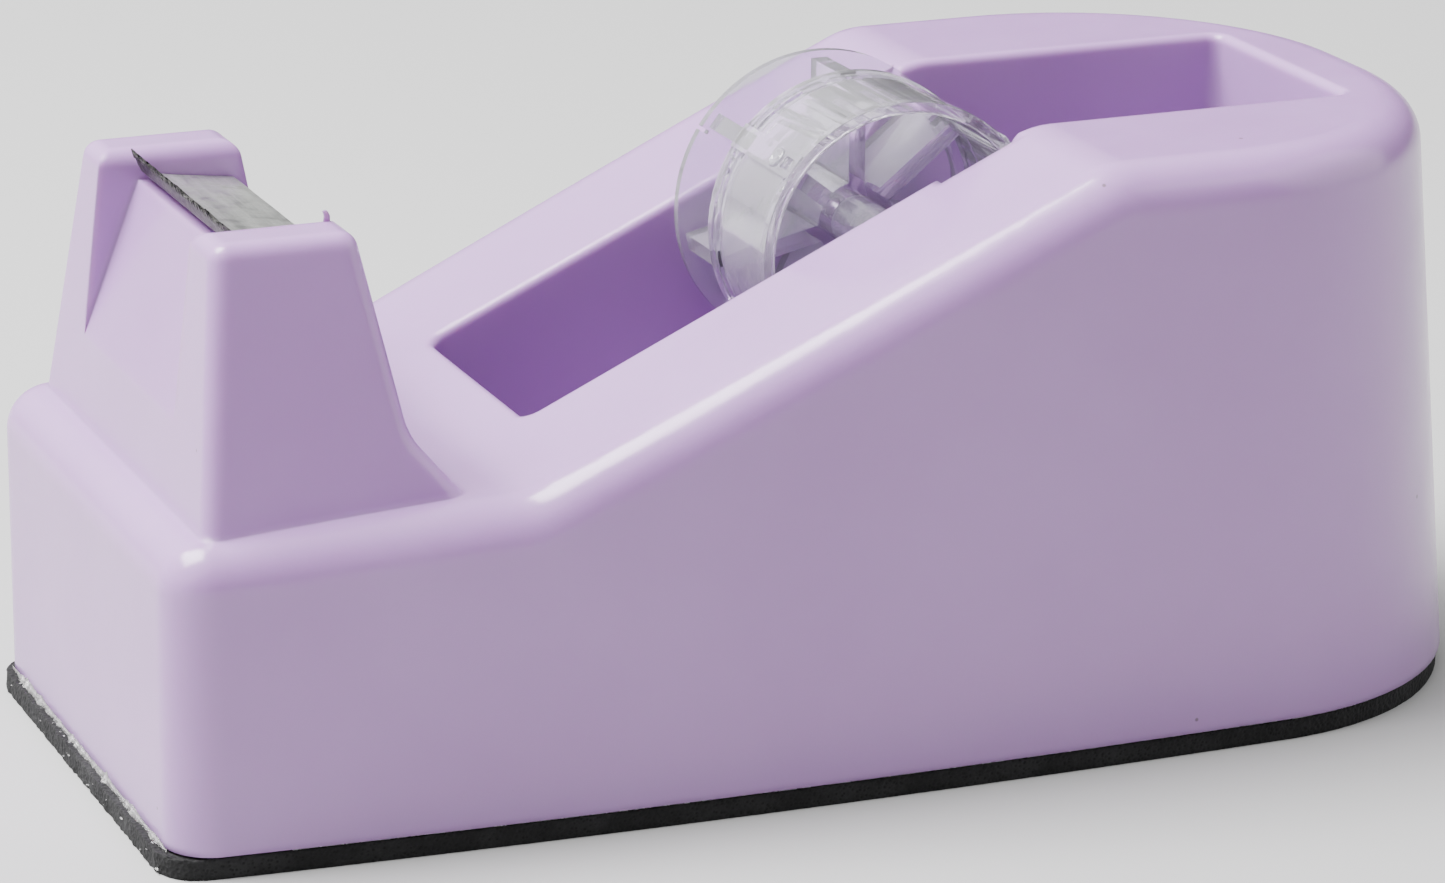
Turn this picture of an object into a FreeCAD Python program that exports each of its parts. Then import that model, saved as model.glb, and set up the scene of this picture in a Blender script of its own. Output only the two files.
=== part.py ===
"""Desk tape dispenser: a weighted shell, a toothed blade and a lift-out clear spool.

Lengths are millimetres. X runs from the blade end to the rounded end, Y across, Z up.
Sketches measure X from the front foot of the shell; each sub-part's Placement then
moves it so that the origin lies under the middle of the object.
"""
import FreeCAD, Part
import Sketcher
import math
import os

doc = FreeCAD.newDocument("tape_dispenser")
sheet = doc.addObject("Spreadsheet::Sheet", "Sizes")
row = 0
EDGE_MARGIN = 0.15   # how near an edge lies to a line to be taken as on it
FACES_UP, FACES_OUT = 0.5, 0.3   # upward share of a normal: top faces above, walls below


def size(alias, value, note=""):
    """Write one named cell: a plain number, or a formula made of other names."""
    global row
    row += 1
    sheet.set(f"A{row}", alias)
    sheet.set(f"B{row}", str(value))
    sheet.set(f"C{row}", note)
    sheet.setAlias(f"B{row}", alias)


# Shell
size("shell_length", 123.1, "along X at the foot")
size("total_height", 51.5, "table to the flat top")
size("deck_height", 28.8, "table to the deck at the foot of the slope")
size("deck_front_height", 27.2, "table to the deck at the front, which dips a little")
size("front_width", 50.7, "along Y at the front face, corners unrounded")
size("rear_width", 56.1, "along Y at the rear face, corners unrounded")
size("side_bow_radius", 950, "gentle outward bow of each side")
size("rear_draft_in", 5.1, "rear face leans in over its height")
size("front_corner_radius", 4.2, "plan corners at the front")
size("rear_corner_radius", 26, "plan corners at the rear")
size("slope_start", 29.8, "front foot to the start of the slope")
size("slope_end", 79.7, "front foot to the end of the slope")
size("slope_foot_radius", 8, "hollow bend between deck and slope")
size("slope_head_radius", 8, "bend between slope and flat top")
size("top_edge_radius", 3.8, "rounding along the outer top edges")
size("wall", 2.4, "shell wall")
# Roll well
size("well_start", 34.9, "front foot to the front wall of the well")
size("well_length", 74.9, "along X")
size("well_width", 23.3, "along Y")
size("well_floor", 11, "table to the well floor")
size("well_corner_radius", 1.2, "upright corners of the well")
size("well_rim_radius", 0.7, "rounding of the well rim")
# Blade tower
size("tower_height", 49.8, "table to the top of the ears")
size("tower_foot_start", 3.8, "front foot to the tower at the deck")
size("tower_foot_length", 18.6, "along X at the deck")
size("tower_foot_width", 45.0, "along Y at the deck")
size("tower_top_start", 6.2, "front foot to the tower at its top")
size("tower_top_length", 12.0, "along X at its top")
size("tower_top_width", 36.4, "along Y at its top")
size("tower_sink", 2.6, "tower foot below the deck, through its rounded edge")
size("tower_edge_radius", 1.5, "rounding of the ears")
size("flare_length", 3.0, "rear foot of the tower spreads over the deck")
size("flare_height", 4.6, "height of that spread")
size("flare_radius", 6, "hollow bend above the spread")
size("ear_gap", 25.2, "clear width between the ears")
size("panel_start_height", 34.4, "table to where the panel leaves the ears")
size("panel_setback", 3.5, "how far the panel lies back at its top")
size("panel_rear_setback", 0.9, "how far the back panel lies in at its top")
size("saddle_height", 47.3, "table to the front of the blade seat")
size("saddle_fall", 0.9, "blade seat drops toward the rear")
# Cutter blade
size("blade_thickness", 0.6, "steel sheet")
size("blade_side_gap", 0.1, "blade to each ear")
size("blade_bend_inset", 0.4, "bend behind the front of the saddle")
size("blade_plate_length", 7.8, "flat part along X")
size("blade_lip_rise", 2.3, "lip height above the plate")
size("blade_lip_lean", 1.1, "how far the lip leans forward")
size("tooth_pitch", 1.2, "tooth to tooth along Y")
size("tooth_depth", 0.9, "notch depth")
# Weight and underside
size("pad_thickness", 1.8, "foam pad")
size("film_thickness", 0.2, "clear adhesive film")
size("pad_front_overhang", 0.9, "pad in front of the shell")
size("pad_rear_inset", 0.3, "pad edge behind the shell edge")
size("film_inset", 0.5, "film edge inside the shell edge")
size("cover_thickness", 1.6, "plate closing the hollow")
size("cover_gap", 0.35, "cover to the shell")
size("ballast_gap", 0.3, "weight to the hollow on every side")
# Spool and axle
size("axle_x", 69.9, "front foot to the axle when seated")
size("axle_height", 40.7, "table to the axle when seated")
size("axle_diameter", 4.4, "pin")
size("bore_clearance", 0.08, "radial, spool on pin")
size("slot_clearance", 0.25, "each side of the pin in its slot")
size("slot_depth", 1.5, "into each well wall")
size("axle_end_gap", 0.3, "pin end to slot floor")
size("slot_lean", 30, "degrees from upright toward the rear")
size("core_bore", 25.4, "bore of the tape core that fits the spool")
size("core_clearance", 0.1, "radial, core on the barrel")
size("barrel_wall", 0.8, "clear barrel")
size("barrel_length", 12.0, "along Y")
size("barrel_near_gap", 3.4, "barrel mouth to the near well wall")
size("flange_diameter", 26.2, "thin far disc")
size("flange_thickness", 0.8, "thin far disc")
size("flange_wall_gap", 1.2, "far disc to the far well wall")
size("spoke_count", 7, "round the hub")
size("spoke_thickness", 1.5, "plate")
size("land_inset", 0.1, "outer lands inside the barrel radius")
size("hub_diameter", 7.0, "round the pin")
size("seat_length", 2.4, "barrel pushed over the spoke ends")

# Worked out
size("pad_underside", "=0")
size("pad_top", "=pad_thickness + film_thickness")
size("x_shift", "=-(shell_length - pad_front_overhang) / 2")
size("top_rear", "=shell_length - rear_draft_in")
size("above", "=total_height + 20")
size("beyond", "=shell_length + 20")
size("well_end", "=well_start + well_length")
size("well_half", "=well_width / 2")
size("tower_root", "=deck_height - tower_sink")
size("deck_far_front", "=deck_front_height - (deck_height - deck_front_height) * beyond / slope_start")
size("tower_rise", "=tower_height - deck_height")
size("tower_foot_end", "=tower_foot_start + tower_foot_length")
size("tower_foot_half", "=tower_foot_width / 2")
size("tower_top_end", "=tower_top_start + tower_top_length")
size("tower_top_half", "=tower_top_width / 2")
size("side_lean", "=(tower_foot_half - tower_top_half) / tower_rise")
size("front_lean", "=(tower_top_start - tower_foot_start) / tower_rise")
size("rear_lean", "=(tower_foot_end - tower_top_end) / tower_rise")
size("root_start", "=tower_foot_start - front_lean * tower_sink")
size("root_end", "=tower_foot_end + rear_lean * tower_sink")
size("root_half", "=tower_foot_half + side_lean * tower_sink")
size("flare_top", "=deck_height + flare_height")
size("flare_root_end", "=root_end + flare_length * (flare_height + tower_sink) / flare_height")
size("flare_top_end", "=tower_foot_end - rear_lean * flare_height")
size("flare_top_half", "=tower_foot_half - side_lean * flare_height")
size("panel_low", "=tower_foot_start + front_lean * (panel_start_height - deck_height)")
size("panel_high", "=tower_foot_start + front_lean * (saddle_height - deck_height) + panel_setback")
size("saddle_rear", "=saddle_height - saddle_fall")
size("back_low", "=tower_foot_end - rear_lean * (panel_start_height - deck_height)")
size("back_high", "=tower_foot_end - rear_lean * (saddle_rear - deck_height) - panel_rear_setback")
size("ear_gap_half", "=ear_gap / 2")
size("tower_clear", "=back_low + 3")
layers = {"shell": "0", "cavity": "wall", "ballast": "wall + ballast_gap", "cover": "wall + cover_gap",
          "film": "film_inset", "pad": "pad_rear_inset"}
for layer, inset in layers.items():
    size(f"{layer}_front", f"={inset}" if layer != "pad" else "=-pad_front_overhang")
    size(f"{layer}_rear", f"=shell_length - ({inset})")
    size(f"{layer}_front_half", f"=front_width / 2 - ({inset})")
    size(f"{layer}_rear_half", f"=rear_width / 2 - ({inset})")
    size(f"{layer}_bow", f"=side_bow_radius - ({inset})")
    size(f"{layer}_rear_corner", f"=rear_corner_radius - ({inset})")
    size(f"{layer}_front_corner", f"=max(front_corner_radius - ({inset}); 0.8)")
for layer, gap in (("cavity", "0"), ("ballast", "ballast_gap")):
    size(f"{layer}_rear_top", f"=top_rear - wall - {gap}")
    size(f"{layer}_deck", f"=deck_height - wall - 1 - {gap}")
    size(f"{layer}_top", f"=total_height - wall - 1 - {gap}")
    size(f"{layer}_well_half", f"=well_half + slot_depth + wall + {gap}")
    size(f"{layer}_well_start", f"=well_start - wall - {gap}")
    size(f"{layer}_well_end", f"=well_end + wall + {gap}")
    size(f"{layer}_well_floor", f"=well_floor - wall - {gap}")
size("top_rear_above", "=top_rear - rear_draft_in * (above - total_height) / (total_height - pad_top)")
for layer in ("cavity", "ballast"):
    size(f"{layer}_rear_above", f"=top_rear_above - (shell_length - {layer}_rear)")
size("cover_top", "=pad_top + cover_thickness")
size("seat_grade", "=saddle_fall / (back_high - panel_high)")
size("bend_x", "=panel_high + blade_bend_inset")
size("bend_low", "=saddle_height - blade_bend_inset * seat_grade")
size("blade_rear", "=bend_x + blade_plate_length")
size("blade_rear_low", "=saddle_height - (blade_rear - panel_high) * seat_grade")
size("blade_rear_top", "=blade_rear_low + blade_thickness")
size("lip_tip", "=bend_low + blade_thickness + blade_lip_rise")
size("lip_front", "=bend_x - blade_lip_lean")
size("lip_skew", "=blade_thickness * sqrt(1 + (blade_lip_lean / blade_lip_rise) ^ 2)")
size("lip_back", "=lip_front + lip_skew")
size("bend_back", "=bend_x + lip_skew")
size("bend_top", "=saddle_height + blade_thickness - (bend_back - panel_high) * seat_grade")
size("blade_half", "=ear_gap_half - blade_side_gap")
size("notch_floor", "=lip_tip - tooth_depth")
size("notch_top", "=lip_tip + 0.5")
size("tooth_count", "=floor(2 * blade_half / tooth_pitch)")
size("notch_left", "=-tooth_count * tooth_pitch / 2")
size("notch_mid", "=notch_left + tooth_pitch / 2")
size("notch_right", "=notch_left + tooth_pitch")
size("slot_half", "=axle_diameter / 2 + slot_clearance")
size("slot_half_span", "=well_half + slot_depth")
size("slot_across_x", "=slot_half * cos(slot_lean)")
size("slot_across_z", "=slot_half * sin(slot_lean)")
size("slot_along_x", "=30 * sin(slot_lean)")
size("slot_along_z", "=30 * cos(slot_lean)")
size("slot_a_x", "=axle_x + slot_across_x")
size("slot_a_z", "=axle_height - slot_across_z")
size("slot_b_x", "=slot_a_x + slot_along_x")
size("slot_b_z", "=slot_a_z + slot_along_z")
size("slot_d_x", "=axle_x - slot_across_x")
size("slot_d_z", "=axle_height + slot_across_z")
size("slot_c_x", "=slot_d_x + slot_along_x")
size("slot_c_z", "=slot_d_z + slot_along_z")
size("axle_radius", "=axle_diameter / 2")
size("axle_half", "=slot_half_span - axle_end_gap")
size("axle_length", "=2 * axle_half")
size("barrel_radius", "=core_bore / 2 - core_clearance")
size("barrel_bore", "=barrel_radius - barrel_wall")
size("barrel_start", "=-well_half + barrel_near_gap")
size("barrel_end", "=barrel_start + barrel_length")
size("flange_face", "=well_half - flange_wall_gap")
size("flange_start", "=flange_face - flange_thickness")
size("flange_radius", "=flange_diameter / 2")
size("spoke_start", "=barrel_end - seat_length")
size("spoke_length", "=flange_face - spoke_start")
size("land_length", "=flange_face - barrel_end")
size("land_reach", "=barrel_radius - land_inset")
size("hub_radius", "=hub_diameter / 2")
size("bore_radius", "=axle_radius + bore_clearance")
size("spool_x", "=axle_x + x_shift")
size("slot_span", "=2 * slot_half_span")
doc.recompute()


def value(name):
    """Number behind a name, or behind the name with a minus sign, or zero."""
    if name == "0":
        return 0.0
    if name.startswith("-"):
        return -float(sheet.get(name[1:]))
    return float(sheet.get(name))


def cell(name):
    """Expression that follows a name."""
    if name == "0":
        return "0"
    if name.startswith("-"):
        return f"-Sizes.{name[1:]}"
    return f"Sizes.{name}"


def plane(body, role):
    return next(f for f in body.Origin.OriginFeatures if f.Role == role)


def outline(body, name, role, points, height=None):
    """Closed sketch through points, each an (across, up) pair of size names."""
    sketch = body.newObject("Sketcher::SketchObject", name)
    sketch.AttachmentSupport = (plane(body, role), [""])
    sketch.MapMode = "FlatFace"
    if height:
        sketch.setExpression("AttachmentOffset.Base.z", cell(height))
    spots = [FreeCAD.Vector(value(a), value(b), 0) for a, b in points]
    count = len(spots)
    for i in range(count):
        sketch.addGeometry(Part.LineSegment(spots[i], spots[(i + 1) % count]), False)
    for i in range(count):
        sketch.addConstraint(Sketcher.Constraint("Coincident", i, 2, (i + 1) % count, 1))
    for i, (across, up) in enumerate(points):
        pin_down(sketch, i, "DistanceX", across, -2)
        pin_down(sketch, i, "DistanceY", up, -1)
    return sketch


def pin_down(sketch, line, kind, name, axis, end=1):
    """Tie one end of a line to a size name, or to an axis where the size is zero."""
    if abs(value(name)) < 1e-9:
        sketch.addConstraint(Sketcher.Constraint("PointOnObject", line, end, axis))
        return
    index = sketch.addConstraint(Sketcher.Constraint(kind, -1, 1, line, end, value(name)))
    sketch.setExpression(f"Constraints[{index}]", cell(name))


def tapered_block(body, name, low, high, kind="Additive"):
    """Flat-sided block between two rectangles (front, rear, half width, height)."""
    wedge = body.newObject(f"PartDesign::{kind}Wedge", name)
    wedge.AttachmentSupport = (plane(body, "XZ_Plane"), [""])
    wedge.MapMode = "FlatFace"
    for prop, name_of in zip(("Xmin", "Xmax", "Zmax", "Ymin"), low):
        wedge.setExpression(prop, cell(name_of))
    for prop, name_of in zip(("X2min", "X2max", "Z2max", "Ymax"), high):
        wedge.setExpression(prop, cell(name_of))
    wedge.setExpression("Zmin", cell(f"-{low[2]}"))
    wedge.setExpression("Z2min", cell(f"-{high[2]}"))
    body.Tip = wedge
    doc.recompute()
    return wedge


def foot_block(body, layer, low, high):
    """Upright block in the outline of the foot: straight ends and gently bowed sides."""
    block = body.newObject("PartDesign::Pad", f"{layer}_block")
    sketch = body.newObject("Sketcher::SketchObject", f"{layer}_outline")
    sketch.AttachmentSupport = (plane(body, "XY_Plane"), [""])
    sketch.MapMode = "FlatFace"
    sketch.setExpression("AttachmentOffset.Base.z", cell(low))
    front, rear = f"{layer}_front", f"{layer}_rear"
    near_front, far_front = (front, f"-{layer}_front_half"), (front, f"{layer}_front_half")
    near_rear, far_rear = (rear, f"-{layer}_rear_half"), (rear, f"{layer}_rear_half")
    corners = [far_front, near_front, near_rear, far_rear]
    spots = [FreeCAD.Vector(value(a), value(b), 0) for a, b in corners]
    bow = value(f"{layer}_bow")
    sketch.addGeometry(Part.LineSegment(spots[0], spots[1]), False)
    sketch.addGeometry(bowed(spots[1], spots[2], bow), False)
    sketch.addGeometry(Part.LineSegment(spots[2], spots[3]), False)
    sketch.addGeometry(bowed(spots[3], spots[0], bow), False)
    for i in range(4):
        sketch.addConstraint(Sketcher.Constraint("Coincident", i, 2, (i + 1) % 4, 1))
    for line, corner, end in ((0, far_front, 1), (0, near_front, 2), (2, near_rear, 1), (2, far_rear, 2)):
        pin_down(sketch, line, "DistanceX", corner[0], -2, end)
        pin_down(sketch, line, "DistanceY", corner[1], -1, end)
    for arc in (1, 3):
        index = sketch.addConstraint(Sketcher.Constraint("Radius", arc, bow))
        sketch.setExpression(f"Constraints[{index}]", cell(f"{layer}_bow"))
    block.Profile = sketch
    block.setExpression("Length", f"{cell(high)} - {cell(low)}")
    body.Tip = block
    doc.recompute()
    middle = value("shell_length") / 2
    round_edges(body, f"{layer}_front_corners", f"{layer}_front_corner",
                lambda e: is_upright(e) and e.BoundBox.Center.x < middle)
    return block


def bowed(start, end, radius):
    """Arc from start to end that swells to the right of the way it runs."""
    chord = end - start
    half = chord.Length / 2
    rise = radius - math.sqrt(radius ** 2 - half ** 2)
    outward = FreeCAD.Vector(chord.y, -chord.x, 0).normalize()
    return Part.Arc(start, (start + end) * 0.5 + outward * rise, end)


def round_rear(body, layer):
    """Large plan corners at the rear, after its lean is cut."""
    middle = value("shell_length") / 2
    round_edges(body, f"{layer}_rear_corners", f"{layer}_rear_corner",
                lambda e: is_upright(e) and e.BoundBox.Center.x > middle)


def cut_through(body, name, points, half=None):
    """Cut a side-view outline across the body, or across a centred width."""
    pocket = body.newObject("PartDesign::Pocket", name)
    pocket.Profile = outline(body, f"{name}_outline", "XZ_Plane", points)
    pocket.SideType = "Symmetric"
    if half:
        pocket.setExpression("Length", f"2 * Sizes.{half}")
    else:
        pocket.Type = "ThroughAll"
    body.Tip = pocket
    doc.recompute()
    return pocket


def round_edges(body, name, radius, wanted):
    """Fillet the tip's edges for which wanted(edge) holds."""
    tip = body.Tip
    names = [f"Edge{i}" for i, edge in enumerate(tip.Shape.Edges, 1) if wanted(edge)]
    rounding = body.newObject("PartDesign::Fillet", name)
    rounding.Base = (tip, names)
    rounding.setExpression("Radius", cell(radius))
    body.Tip = rounding
    doc.recompute()
    return rounding


def new_body(label):
    body = doc.addObject("PartDesign::Body", label)
    body.Label = label
    return body


def is_upright(edge):
    ends = [v.Point for v in edge.Vertexes]
    if len(ends) < 2:
        return False
    step = ends[1] - ends[0]
    return abs(step.z) > 3 * math.hypot(step.x, step.y)


def spans_width(edge):
    """True for a straight edge along Y."""
    ends = [v.Point for v in edge.Vertexes]
    if len(ends) < 2:
        return False
    step = ends[1] - ends[0]
    return abs(step.y) > 5 and abs(step.x) < 0.01 and abs(step.z) < 0.01


def near(number, other, within=0.05):
    return abs(number - other) < within


def face_up(face, point):
    """Upward share of the face normal at a point."""
    u, v = face.Surface.parameter(point)
    return face.normalAt(u, v).z


def outer_top_edge(body):
    """Test for edges where an upward face meets an outer wall."""
    shape = body.Tip.Shape

    def wanted(edge):
        middle = edge.valueAt((edge.FirstParameter + edge.LastParameter) / 2)
        if middle.z < value("deck_front_height") - 1:
            return False
        ups = [face_up(f, middle) for f in shape.ancestorsOfType(edge, Part.Face)]
        return len(ups) == 2 and max(ups) > FACES_UP and min(ups) < FACES_OUT
    return wanted


# ---------------------------------------------------------------- shell

def shell_outside():
    """Upright block with the low deck, the slope and the leaning rear cut out of it."""
    body = new_body("shell_outside")
    foot_block(body, "shell", "pad_top", "total_height")
    cut_through(body, "rear_cut", [("shell_rear", "pad_top"), ("beyond", "pad_top"),
                                   ("beyond", "above"), ("top_rear_above", "above")])
    round_rear(body, "shell")
    cut_through(body, "slope_cut", [("-beyond", "deck_far_front"), ("slope_start", "deck_height"),
                                    ("slope_end", "total_height"), ("slope_end", "above"),
                                    ("-beyond", "above")])
    round_edges(body, "slope_foot", "slope_foot_radius",
                lambda e: spans_width(e) and near(e.BoundBox.XMin, value("slope_start")))
    round_edges(body, "slope_head", "slope_head_radius",
                lambda e: spans_width(e) and near(e.BoundBox.XMin, value("slope_end")))
    round_edges(body, "top_edges", "top_edge_radius", outer_top_edge(body))
    cut_roll_well(body)
    return body


def cut_roll_well(body):
    """Well for the tape roll, with a softened rim and a leaning slot in each long wall."""
    tapered_block(body, "well", ("well_start", "well_end", "well_half", "well_floor"),
                  ("well_start", "well_end", "well_half", "above"), "Subtractive")
    round_edges(body, "well_corners", "well_corner_radius",
                lambda e: is_upright(e) and abs(e.BoundBox.Center.y) < value("well_half") + EDGE_MARGIN)
    rim = body.Tip.Shape
    round_edges(body, "well_rim", "well_rim_radius", lambda e: on_well_rim(rim, e))
    cut_through(body, "slot", [("slot_a_x", "slot_a_z"), ("slot_b_x", "slot_b_z"),
                               ("slot_c_x", "slot_c_z"), ("slot_d_x", "slot_d_z")],
                "slot_half_span")
    cross_rod(body, "slot_seat", "slot_half", "-slot_half_span", "slot_span", "Subtractive",
              ("axle_x", "axle_height"))


def on_well_rim(shape, edge):
    """True where a wall of the well meets the deck, the slope or the flat top."""
    middle = edge.valueAt((edge.FirstParameter + edge.LastParameter) / 2)
    ups = [face_up(f, middle) for f in shape.ancestorsOfType(edge, Part.Face)]
    inside = (abs(middle.y) < value("well_half") + EDGE_MARGIN
              and value("well_start") - EDGE_MARGIN < middle.x < value("well_end") + EDGE_MARGIN)
    return inside and middle.z > value("deck_height") and max(ups) > FACES_UP > min(ups)


def cross_rod(body, name, radius, start, length, kind="Additive", centre=None):
    """Cylinder along Y from start, about the body's own Y axis or a (x, z) centre."""
    rod = body.newObject(f"PartDesign::{kind}Cylinder", name)
    rod.AttachmentSupport = (plane(body, "XZ_Plane"), [""])
    rod.MapMode = "FlatFace"
    rod.setExpression("Radius", cell(radius))
    rod.setExpression("Height", cell(length))
    rod.setExpression("AttachmentOffset.Base.z", f"-({cell(start)} + {cell(length)})")
    if centre:
        rod.setExpression("AttachmentOffset.Base.x", cell(centre[0]))
        rod.setExpression("AttachmentOffset.Base.y", cell(centre[1]))
    body.Tip = rod
    doc.recompute()
    return rod


def on_ear(edge):
    """Outer edges of the tower above the deck, and every edge of the ear tops."""
    middle = edge.BoundBox.Center
    outer = (middle.z > value("deck_height") + EDGE_MARGIN
             and abs(middle.y) > value("tower_top_half") - EDGE_MARGIN)
    return outer or near(edge.BoundBox.ZMin, value("tower_height"))


def tower_outside():
    """Tapered tower with a saddle between two ears."""
    body = new_body("tower_outside")
    tapered_block(body, "tower",
                  ("root_start", "root_end", "root_half", "tower_root"),
                  ("tower_top_start", "tower_top_end", "tower_top_half", "tower_height"))
    tapered_block(body, "flare",
                  ("tower_top_end", "flare_root_end", "root_half", "tower_root"),
                  ("tower_top_end", "flare_top_end", "flare_top_half", "flare_top"))
    round_edges(body, "flare_bend", "flare_radius",
                lambda e: spans_width(e) and near(e.BoundBox.ZMax, value("flare_top")))
    cut_through(body, "saddle",
                [("-beyond", "panel_start_height"), ("panel_low", "panel_start_height"),
                 ("panel_high", "saddle_height"), ("back_high", "saddle_rear"),
                 ("back_low", "panel_start_height"), ("tower_clear", "panel_start_height"),
                 ("tower_clear", "above"), ("-beyond", "above")], "ear_gap_half")
    round_edges(body, "ear_edges", "tower_edge_radius", on_ear)
    return body


def inner_block(label, layer, low):
    """Solid that follows the inside of the shell, clear of the well's own walls."""
    body = new_body(label)
    foot_block(body, layer, low, "total_height")
    cut_through(body, f"{layer}_rear_cut", [(f"{layer}_rear", "pad_top"), ("beyond", "pad_top"),
                                            ("beyond", "above"), (f"{layer}_rear_above", "above")])
    round_rear(body, layer)
    deck, top = f"{layer}_deck", f"{layer}_top"
    cut_through(body, f"{layer}_slope", [("-beyond", deck), ("slope_start", deck),
                                         ("slope_end", top), ("beyond", top),
                                         ("beyond", "above"), ("-beyond", "above")])
    start, end, floor = f"{layer}_well_start", f"{layer}_well_end", f"{layer}_well_floor"
    cut_through(body, f"{layer}_well", [(start, floor), (end, floor), (end, "above"),
                                        (start, "above")], f"{layer}_well_half")
    return body


def body_shell():
    """One moulding: outside with its well and tower, less the hollow."""
    moulding = doc.addObject("Part::Fuse", "moulding")
    moulding.Base = shell_outside()
    moulding.Tool = tower_outside()
    shell = doc.addObject("Part::Cut", "body_shell")
    shell.Base = moulding
    shell.Tool = inner_block("hollow", "cavity", "pad_top")
    return shell


def slab(label, layer, low, high):
    """Flat plate in the outline of the foot."""
    body = new_body(label)
    foot_block(body, layer, low, high)
    round_rear(body, layer)
    return body


def cutter_blade():
    """Bent steel strip: a flat on the saddle and a raised, toothed lip."""
    body = new_body("cutter_blade")
    strip = body.newObject("PartDesign::Pad", "strip")
    strip.Profile = outline(body, "strip_outline", "XZ_Plane",
                            [("blade_rear", "blade_rear_low"), ("bend_x", "bend_low"),
                             ("lip_front", "lip_tip"), ("lip_back", "lip_tip"),
                             ("bend_back", "bend_top"), ("blade_rear", "blade_rear_top")])
    strip.SideType = "Symmetric"
    strip.setExpression("Length", "2 * Sizes.blade_half")
    body.Tip = strip
    doc.recompute()
    notch = body.newObject("PartDesign::Pocket", "notch")
    notch.Profile = outline(body, "notch_outline", "YZ_Plane",
                            [("notch_left", "notch_top"), ("notch_mid", "notch_floor"),
                             ("notch_right", "notch_top")])
    notch.SideType = "Symmetric"
    notch.Type = "ThroughAll"
    doc.recompute()
    teeth = body.newObject("PartDesign::LinearPattern", "teeth")
    teeth.Originals = [notch]
    teeth.Direction = (plane(body, "Y_Axis"), [""])
    teeth.setExpression("Length", "Sizes.tooth_pitch * (Sizes.tooth_count - 1)")
    teeth.setExpression("Occurrences", "Sizes.tooth_count")
    body.Tip = teeth
    doc.recompute()
    return body


def on_axle(label):
    """Body whose own Y axis is the axle."""
    body = new_body(label)
    body.setExpression("Placement.Base.z", cell("axle_height"))
    return body


def axle_pin():
    body = on_axle("axle_pin")
    cross_rod(body, "pin", "axle_radius", "-axle_half", "axle_length")
    return body


def spool_barrel():
    """Open clear tube that carries the tape core."""
    body = on_axle("spool_barrel")
    cross_rod(body, "tube", "barrel_radius", "barrel_start", "barrel_length")
    cross_rod(body, "tube_bore", "barrel_bore", "barrel_start", "barrel_length", "Subtractive")
    return body


def spool_wheel():
    """Far disc, hub and spokes; the spoke ends plug into the barrel."""
    body = on_axle("spool_wheel")
    cross_rod(body, "hub", "hub_radius", "spoke_start", "spoke_length")
    cross_rod(body, "disc", "flange_radius", "flange_start", "flange_thickness")
    spoke = radial_plate(body, "spoke", "barrel_bore", "spoke_start", "spoke_length")
    ring_of(body, "spokes", spoke)
    land = radial_plate(body, "land", "land_reach", "barrel_end", "land_length")
    ring_of(body, "lands", land)
    cross_rod(body, "hub_bore", "bore_radius", "spoke_start", "spoke_length", "Subtractive")
    return body


def radial_plate(body, name, reach, start, length):
    """Upright plate from the axis out to a radius."""
    plate = body.newObject("PartDesign::AdditiveBox", name)
    plate.AttachmentSupport = (plane(body, "XZ_Plane"), [""])
    plate.MapMode = "FlatFace"
    plate.setExpression("Length", cell("spoke_thickness"))
    plate.setExpression("Width", cell(reach))
    plate.setExpression("Height", cell(length))
    plate.setExpression("AttachmentOffset.Base.x", "-Sizes.spoke_thickness / 2")
    plate.setExpression("AttachmentOffset.Base.z", f"-({cell(start)} + {cell(length)})")
    body.Tip = plate
    doc.recompute()
    return plate


def ring_of(body, name, feature):
    pattern = body.newObject("PartDesign::PolarPattern", name)
    pattern.Originals = [feature]
    pattern.Axis = (plane(body, "Y_Axis"), [""])
    pattern.Angle = 360
    pattern.setExpression("Occurrences", cell("spoke_count"))
    body.Tip = pattern
    doc.recompute()
    return pattern


def build():
    """Every piece, moved so that the origin is under the middle of the object."""
    fixed = [
        body_shell(),
        cutter_blade(),
        inner_block("ballast_block", "ballast", "cover_top"),
        slab("bottom_cover", "cover", "pad_top", "cover_top"),
        slab("adhesive_film", "film", "pad_thickness", "pad_top"),
        slab("foam_pad", "pad", "pad_underside", "pad_thickness"),
    ]
    for piece in fixed:
        piece.setExpression("Placement.Base.x", cell("x_shift"))
    turning = [axle_pin(), spool_barrel(), spool_wheel()]
    for piece in turning:
        piece.setExpression("Placement.Base.x", cell("spool_x"))
    doc.recompute()
    return fixed + turning


def check(pieces):
    """Stop on any failed feature or broken solid."""
    for item in doc.Objects:
        if "Invalid" in item.State or "Error" in item.State:
            raise RuntimeError(f"{item.Name} did not build: {item.State}")
    for piece in pieces:
        if piece.Shape.isNull() or not piece.Shape.isValid():
            raise RuntimeError(f"{piece.Label} is not a sound solid")


def write(pieces):
    os.makedirs("parts", exist_ok=True)
    for piece in pieces:
        piece.Shape.exportStep(f"parts/{piece.Label}.step")


pieces = build()
check(pieces)
write(pieces)
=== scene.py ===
import bmesh
import bpy
import math
import random
from mathutils import Matrix, Vector, noise


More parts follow.
